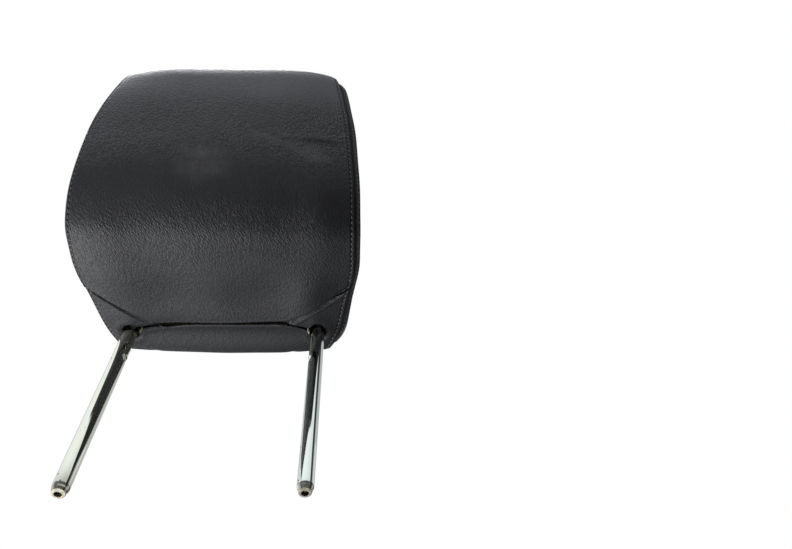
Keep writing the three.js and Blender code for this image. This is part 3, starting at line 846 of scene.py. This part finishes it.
# A stitch's place and outward direction on a side panel
def onSide(walk, side):
    look = sideLook
    y, z, half, _, outY, outZ = (v[0] for v in seamAt(np.array([walk])))
    rimY, rimZ = y - outY * seam["depth"], z - outZ * seam["depth"]
    radius = math.hypot(rimY - look["centreY"], rimZ - look["centreZ"])
    rim = 1 - seam["stitchInset"] / radius
    angle = walk / seamLength * 2 * math.pi
    ca, cb = rim * math.cos(angle), rim * math.sin(angle)
    # back from the round place to the grid's square
    p, q = ca * ca - cb * cb, 2 * math.sqrt(2)
    a = 0.5 * (math.sqrt(max(2 + p + q * ca, 0)) - math.sqrt(max(2 + p - q * ca, 0)))
    b = 0.5 * (math.sqrt(max(2 - p + q * cb, 0)) - math.sqrt(max(2 - p - q * cb, 0)))
    def skin(a, b):
        return sidePlace(side, np.array([(a + 1) / 2]), np.array([(b + 1) / 2]))[0]
    normal = np.cross(skin(a + 0.004, b) - skin(a - 0.004, b), skin(a, b + 0.004) - skin(a, b - 0.004))
    if normal[0] * side < 0:
        normal = -normal
    return skin(a, b), normal / np.linalg.norm(normal)


bm = bmesh.new()
for side in (-1, 1):
    stitchRow(bm, lambda w: onSide(w, side), stitchStops(0, seamLength - 3))
sideThread = meshPiece(bm, "sideThread", threadStuff)
print("thread sewn")


# Post frame: one tube with rounded tips, bent forward at the knees and round over the carrier
posts = {
    "x": 80, "radius": 6.0, "bore": 2.6, "boreDepth": 9, "tipLength": 6.5,
    "tipProfile": [
        (2.6, 0.6), (2.68, 0.25), (2.9, 0.06), (3.2, 0), (3.55, 0.04), (3.9, 0.2), (4.3, 0.5), (4.65, 0.95),
        (4.85, 1.5), (4.93, 2.1), (4.97, 2.6), (5.08, 3.1), (5.3, 3.7), (5.58, 4.4), (5.82, 5.1), (5.95, 5.8), (6.0, 6.5),
    ],
    "knee": 185, "kneeRadius": 25, "leanDegrees": 20, "bar": 78, "bend": 30, "sides": 56,
    "notchZ": 137, "notchDepth": 2.2, "notchRadius": 4.5,
}


# The middle line of the left half of the tube, from the post to the middle of the bar
def framePlaces():
    look = posts
    lean = math.radians(look["leanDegrees"])
    tangent = look["kneeRadius"] * math.tan(lean / 2)
    leaning = Matrix.Translation((0, 0, look["knee"])) @ Matrix.Rotation(lean, 4, "X")
    places = [Vector((-look["x"], 0, z)) for z in (30, 60, 90, 120, 150)]
    for i in range(7):
        angle = lean * i / 6
        places.append(Vector((-look["x"], look["kneeRadius"] * (math.cos(angle) - 1),
                              look["knee"] - tangent + look["kneeRadius"] * math.sin(angle))))
    corner = look["bar"] - look["bend"]
    for i in range(13):
        turn = math.pi / 2 * i / 12
        reach = look["x"] - look["bend"] + look["bend"] * math.cos(turn)
        places.append(leaning @ Vector((-reach, 0, corner + look["bend"] * math.sin(turn))))
    places.append(leaning @ Vector((0, 0, look["bar"])))
    return places


def makePosts():
    look = posts
    bm = bmesh.new()
    profile = [(0, look["boreDepth"]), (look["bore"], look["boreDepth"])] + look["tipProfile"]
    verts = [bm.verts.new(Vector((-look["x"] + r, 0, z)) * mm) for r, z in profile]
    edges = [bm.edges.new(pair) for pair in zip(verts, verts[1:])]
    bmesh.ops.spin(bm, geom=verts + edges, cent=Vector((-look["x"], 0, 0)) * mm, axis=(0, 0, 1),
                   angle=2 * math.pi, steps=look["sides"], use_merge=True)
    bmesh.ops.remove_doubles(bm, verts=bm.verts[:], dist=1e-6)
    top = look["tipLength"] * mm - 1e-5
    middle = Vector((-look["x"] * mm, 0))
    ring = [e for e in bm.edges if e.is_boundary and all(
        v.co.z > top and (v.co.xy - middle).length > 5 * mm for v in e.verts)]
    places = framePlaces()
    route = [Vector((-look["x"], 0, look["tipLength"]))] + places
    frames = []
    for i, place in enumerate(route):
        before = route[max(i - 1, 0)]
        after = route[min(i + 1, len(route) - 1)]
        along = (after - before).normalized() if i < len(route) - 1 else Vector((1, 0, 0))
        turn = Vector((0, 0, 1)).rotation_difference(along).to_matrix().to_4x4()
        frames.append(Matrix.Translation(place * mm) @ turn)
    for before, after in zip(frames, frames[1:]):
        grown = bmesh.ops.extrude_edge_only(bm, edges=ring)
        fresh = [g for g in grown["geom"] if isinstance(g, bmesh.types.BMVert)]
        ring = [g for g in grown["geom"] if isinstance(g, bmesh.types.BMEdge) and all(v in fresh for v in g.verts)]
        bmesh.ops.transform(bm, matrix=after @ before.inverted(), verts=fresh)
    for edge in ring:
        for vert in edge.verts:
            vert.co.x = 0
    bmesh.ops.mirror(bm, geom=bm.verts[:] + bm.edges[:] + bm.faces[:], axis="X", merge_dist=1e-5)
    bmesh.ops.remove_doubles(bm, verts=bm.verts[:], dist=1e-5)
    bmesh.ops.recalc_face_normals(bm, faces=bm.faces[:])
    return bm


# One round notch on the inner side of each post
def cutNotches(piece):
    look = posts
    bm = bmesh.new()
    for side in (-1, 1):
        x = side * (look["x"] - look["radius"] + look["notchDepth"] - look["notchRadius"])
        place = Matrix.Translation(Vector((x, 0, look["notchZ"])) * mm) @ Matrix.Rotation(math.pi / 2, 4, "X")
        bmesh.ops.create_cone(bm, cap_ends=True, segments=48, radius1=look["notchRadius"] * mm,
                              radius2=look["notchRadius"] * mm, depth=30 * mm, matrix=place)
    mesh = bpy.data.meshes.new("notchCutter")
    bm.to_mesh(mesh)
    bm.free()
    cutter = bpy.data.objects.new("notchCutter", mesh)
    scene.collection.objects.link(cutter)
    cut = piece.modifiers.new("notch", "BOOLEAN")
    cut.operation = "DIFFERENCE"
    cut.solver = "EXACT"
    cut.object = cutter
    shown = piece.evaluated_get(bpy.context.evaluated_depsgraph_get())
    final = bpy.data.meshes.new_from_object(shown)
    piece.modifiers.clear()
    piece.data = final
    bpy.data.objects.remove(cutter)
    return piece


chrome = chromeFinish()
postFrame = cutNotches(meshPiece(makePosts(), "postFrame", chrome, ("post_frame",)))
for polygon in postFrame.data.polygons:
    polygon.use_smooth = True
postFrame.data.set_sharp_from_angle(angle=math.radians(32))
print("posts made")


# Foam inside: a copy of the moulded body drawn in a little, so that it stays under the sewn edges
foamLook = {"voxel": 4, "drawnIn": 3.0}


def makeFoam():
    bm = bmesh.new()
    bm.from_mesh(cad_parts["foam_pad"].data)
    bmesh.ops.remove_doubles(bm, verts=bm.verts[:], dist=1e-6)
    piece = meshPiece(bm, "foamBody", foamFinish(), ("foam_pad",))
    even = piece.modifiers.new("even", "REMESH")
    even.mode = "VOXEL"
    even.voxel_size = foamLook["voxel"] * mm
    drawn = piece.modifiers.new("drawn in", "DISPLACE")
    drawn.strength = -foamLook["drawnIn"] * mm
    drawn.mid_level = 0.0
    shown = piece.evaluated_get(bpy.context.evaluated_depsgraph_get())
    final = bpy.data.meshes.new_from_object(shown)
    piece.modifiers.clear()
    piece.data = final
    for polygon in piece.data.polygons:
        polygon.use_smooth = True
    return piece


foamBody = makeFoam()

corePlastic = plainFinish("moulded plastic", (0.008, 0.008, 0.009, 1), (0.02, 0.02, 0.021, 1), 0.5, 900, 0.05)
stripPlastic = plainFinish("natural plastic", (0.42, 0.39, 0.30, 1), (0.66, 0.63, 0.52, 1), 0.42, 500, 0.05)
screwSteel = plainFinish("zinc plated steel", (0.35, 0.35, 0.34, 1), (0.6, 0.6, 0.58, 1), 0.32, 1500, 0.02,
                         metallic=1.0)
for name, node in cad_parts.items():
    if name.startswith("carrier_screw"):
        dress(node, screwSteel)
    elif name.startswith("carrier"):
        dress(node, corePlastic)
    elif name.endswith("closing_strip"):
        dress(node, stripPlastic)
print("inner pieces finished")


# Ends of the closing strips that peek out beside the posts: where each starts and where it shows
stripEnds = {
    "from": {-1: (-69.5, -5.5, 177), 1: (71.0, -5.5, 177)},
    "to": {-1: (-70.9, -2.4, 169.4), 1: (72.9, -3.2, 169.6)},
    "wide": 1.9,
    "thick": 1.5,
}


def makeStripEnds():
    bm = bmesh.new()
    for side in (-1, 1):
        start, end = Vector(stripEnds["from"][side]), Vector(stripEnds["to"][side])
        run = end - start
        turn = Vector((0, 0, 1)).rotation_difference(run).to_matrix().to_4x4()
        size = Matrix.Diagonal((stripEnds["wide"] * mm, stripEnds["thick"] * mm, run.length * mm, 1))
        bmesh.ops.create_cube(bm, size=1, matrix=Matrix.Translation((start + end) / 2 * mm) @ turn @ size)
    bmesh.ops.bevel(bm, geom=bm.edges[:], offset=0.35 * mm, segments=2, affect="EDGES")
    return meshPiece(bm, "stripEnds", stripPlastic)


makeStripEnds()


# Camera: below and ahead of the headrest, looking up along the posts as in the photograph
view = {
    "place": (107.78, -373.98, -309.19),
    "right": (0.99768, -0.04987, -0.04632),
    "down": (0.01682, 0.84012, -0.54213),
    "ahead": (0.06595, 0.54010, 0.83902),
    "focalPixels": 690.0,
    "widthPixels": 792,
}
lens = bpy.data.cameras.new("camera")
lens.sensor_width = 36
lens.lens = view["focalPixels"] / view["widthPixels"] * lens.sensor_width
lens.clip_start = 0.01
camera = bpy.data.objects.new("camera", lens)
turn = Matrix((view["right"], [-v for v in view["down"]], [-v for v in view["ahead"]])).transposed().to_4x4()
camera.matrix_world = Matrix.Translation(Vector(view["place"]) * mm) @ turn
scene.collection.objects.link(camera)
scene.camera = camera


# Floor: seen from above only, so that the low camera looks past it. Gloss sees it as a painted reflection, a glow
# pale at the left and dim elsewhere, and bounce light sees a dim grey
floorLook = {
    "size": 6.0,
    "below": 0.4,
    "whiteFrom": 0.45,
    "whiteTo": 1.3,
    "lift": 0.30,
    "bounce": (0.30, 0.30, 0.30, 1),
    "rightGloss": 0.16,
    "leftGloss": 1.22,
}


def makeFloor():
    look = floorLook
    bm = bmesh.new()
    bmesh.ops.create_grid(bm, x_segments=8, y_segments=8, size=look["size"])
    bmesh.ops.translate(bm, vec=(0, 0, -look["below"] * mm), verts=bm.verts[:])
    mesh = bpy.data.meshes.new("floor")
    bm.to_mesh(mesh)
    bm.free()
    floor = bpy.data.objects.new("floor", mesh)
    scene.collection.objects.link(floor)
    made, wire, place = newFinish("studio floor")
    tone = place.noise(3, 2)
    paper = wire.node("BsdfDiffuse", None, {"Color": tone.blendColour((0.80, 0.80, 0.80, 1), (0.84, 0.84, 0.84, 1))})
    clear = wire.node("BsdfTransparent")
    below = wire.node("NewGeometry", output=6)
    shadowRay = wire.node("LightPath", output=1)
    glossyRay = wire.node("LightPath", output=3)
    # Painted reflection: reflections see the floor as a glow of its own, bright at the left, dimmer to the right and
    # further back, which sets the leather's sheen
    sideways, ahead = place.part(0), place.part(1)
    level = look["rightGloss"] + (1 - sideways.smooth(-0.22, 0.28)) * look["leftGloss"]
    level = level * (1 - ahead.smooth(0.13, 0.32) * 0.85)
    level = level * (0.25 + ahead.smooth(-0.14, 0.04) * 0.75 + (1 - ahead.smooth(-0.9, -0.4)) * 0.3)
    sheen = wire.node("Emission", None, {"Color": level.grey(), "Strength": 1.0})
    dim = wire.node("BsdfDiffuse", None, {"Color": look["bounce"]})
    far = place.length().smooth(look["whiteFrom"], look["whiteTo"])
    white = wire.node("Emission", None, {"Color": (1, 1, 1, 1), "Strength": 1.0})
    lift = wire.node("Emission", None, {"Color": (1, 1, 1, 1), "Strength": look["lift"]})
    near = wire.node("AddShader", None, {0: paper, 1: lift})
    seen = wire.node("MixShader", None, {0: far, 1: near, 2: white})
    lit = wire.node("MixShader", None, {0: wire.node("LightPath", output=2), 1: seen, 2: dim})
    shown = wire.node("MixShader", None, {0: glossyRay, 1: lit, 2: sheen})
    surface = wire.node("MixShader", None, {0: below.most(shadowRay), 1: shown, 2: clear})
    wire.node("OutputMaterial", None, {"Surface": surface})
    floor.data.materials.append(made)


makeFloor()

# Lamps: place, target, size of the box in metres, and watts
softboxes = {
    "lowBox": ((-1.25, 0.30, -0.55), (-0.02, -0.06, 0.16), (0.8, 1.0), 21),
    "topBox": ((-0.5, 0.1, 1.7), (0, -0.05, 0.2), (0.9, 0.9), 30),
    "rightBox": ((1.3, 0.6, 0.7), (0, -0.05, 0.2), (0.4, 1.0), 0.4),
    "backBox": ((-0.9, 1.3, 0.5), (0, -0.05, 0.2), (1.0, 0.8), 1.2),
}


def softbox(name, place, target, size, power):
    lamp = bpy.data.lights.new(name, "AREA")
    lamp.shape = "RECTANGLE"
    lamp.size, lamp.size_y = size
    lamp.energy = power
    made = bpy.data.objects.new(name, lamp)
    made.location = place
    made.rotation_euler = (Vector(target) - Vector(place)).to_track_quat("-Z", "Y").to_euler()
    made.visible_camera = False
    scene.collection.objects.link(made)


for name, values in softboxes.items():
    softbox(name, *values)

# World: white for the camera. Gloss sees pale light above and at the left, and a dark side at the right
worldLook = {"gloss": 0.115, "frontLeft": 0.05, "horizon": 0.29, "left": 0.62, "tint": (0.95, 0.99, 1.04, 1)}
world = bpy.data.worlds.new("studio")
scene.world = world
world.use_nodes = True
world.node_tree.nodes.clear()
wire = Wire(world.node_tree)
direction = wire.node("TexCoord", output=0)
east, north, up = (direction.part(i) for i in (0, 1, 2))
cameraRay = wire.node("LightPath", output=0)
glossyRay = wire.node("LightPath", output=3)
throughRay = wire.node("LightPath", output=6)
horizon = 1 - wire.maths("ABSOLUTE", up).smooth(0.10, 0.42)
horizon = horizon * north.smooth(-0.6, 0.2) * (1 - north.smooth(0.6, 0.9))
sideways = (east * -1).smooth(0.35, 0.7) * north.smooth(-0.6, 0.1)
southern = 1 - (north + east.smooth(0.0, 0.3) * 0.4).smooth(0.0, 0.4)
overhead = 0.25 - (1 - east.smooth(-0.32, -0.06)) * 0.65
raised = up.smooth(0.48, 0.62) * (0.50 + southern * 0.42)
raised = raised * (1 - up.smooth(0.80, 0.95) * overhead) * (1 - east.smooth(0.05, 0.4) * 0.15)
darkSide = east.smooth(0.15, 0.30) * north.smooth(-0.46, -0.38) * (1 - north.smooth(-0.08, 0.0))
frontLeft = (1 - east.smooth(-0.4, 0.0)) * (1 - north.smooth(-0.7, -0.4))
bright = raised.most(horizon * worldLook["horizon"]).most(sideways * worldLook["left"])
mirrored = (worldLook["gloss"] + frontLeft * worldLook["frontLeft"] + bright) * (1 - darkSide * 0.93)
spread = 0.255 - east.smooth(-0.1, 0.8) * 0.16
shownLevel = cameraRay.most(throughRay)
level = shownLevel + (1 - shownLevel) * (glossyRay * mirrored + (1 - glossyRay) * spread)
colour = glossyRay.blendColour((1, 1, 1, 1), worldLook["tint"])
backdrop = wire.node("Background", None, {"Color": colour, "Strength": level})
wire.node("OutputWorld", None, {"Surface": backdrop})

scene.view_settings.view_transform = "Standard"
print("stage set")
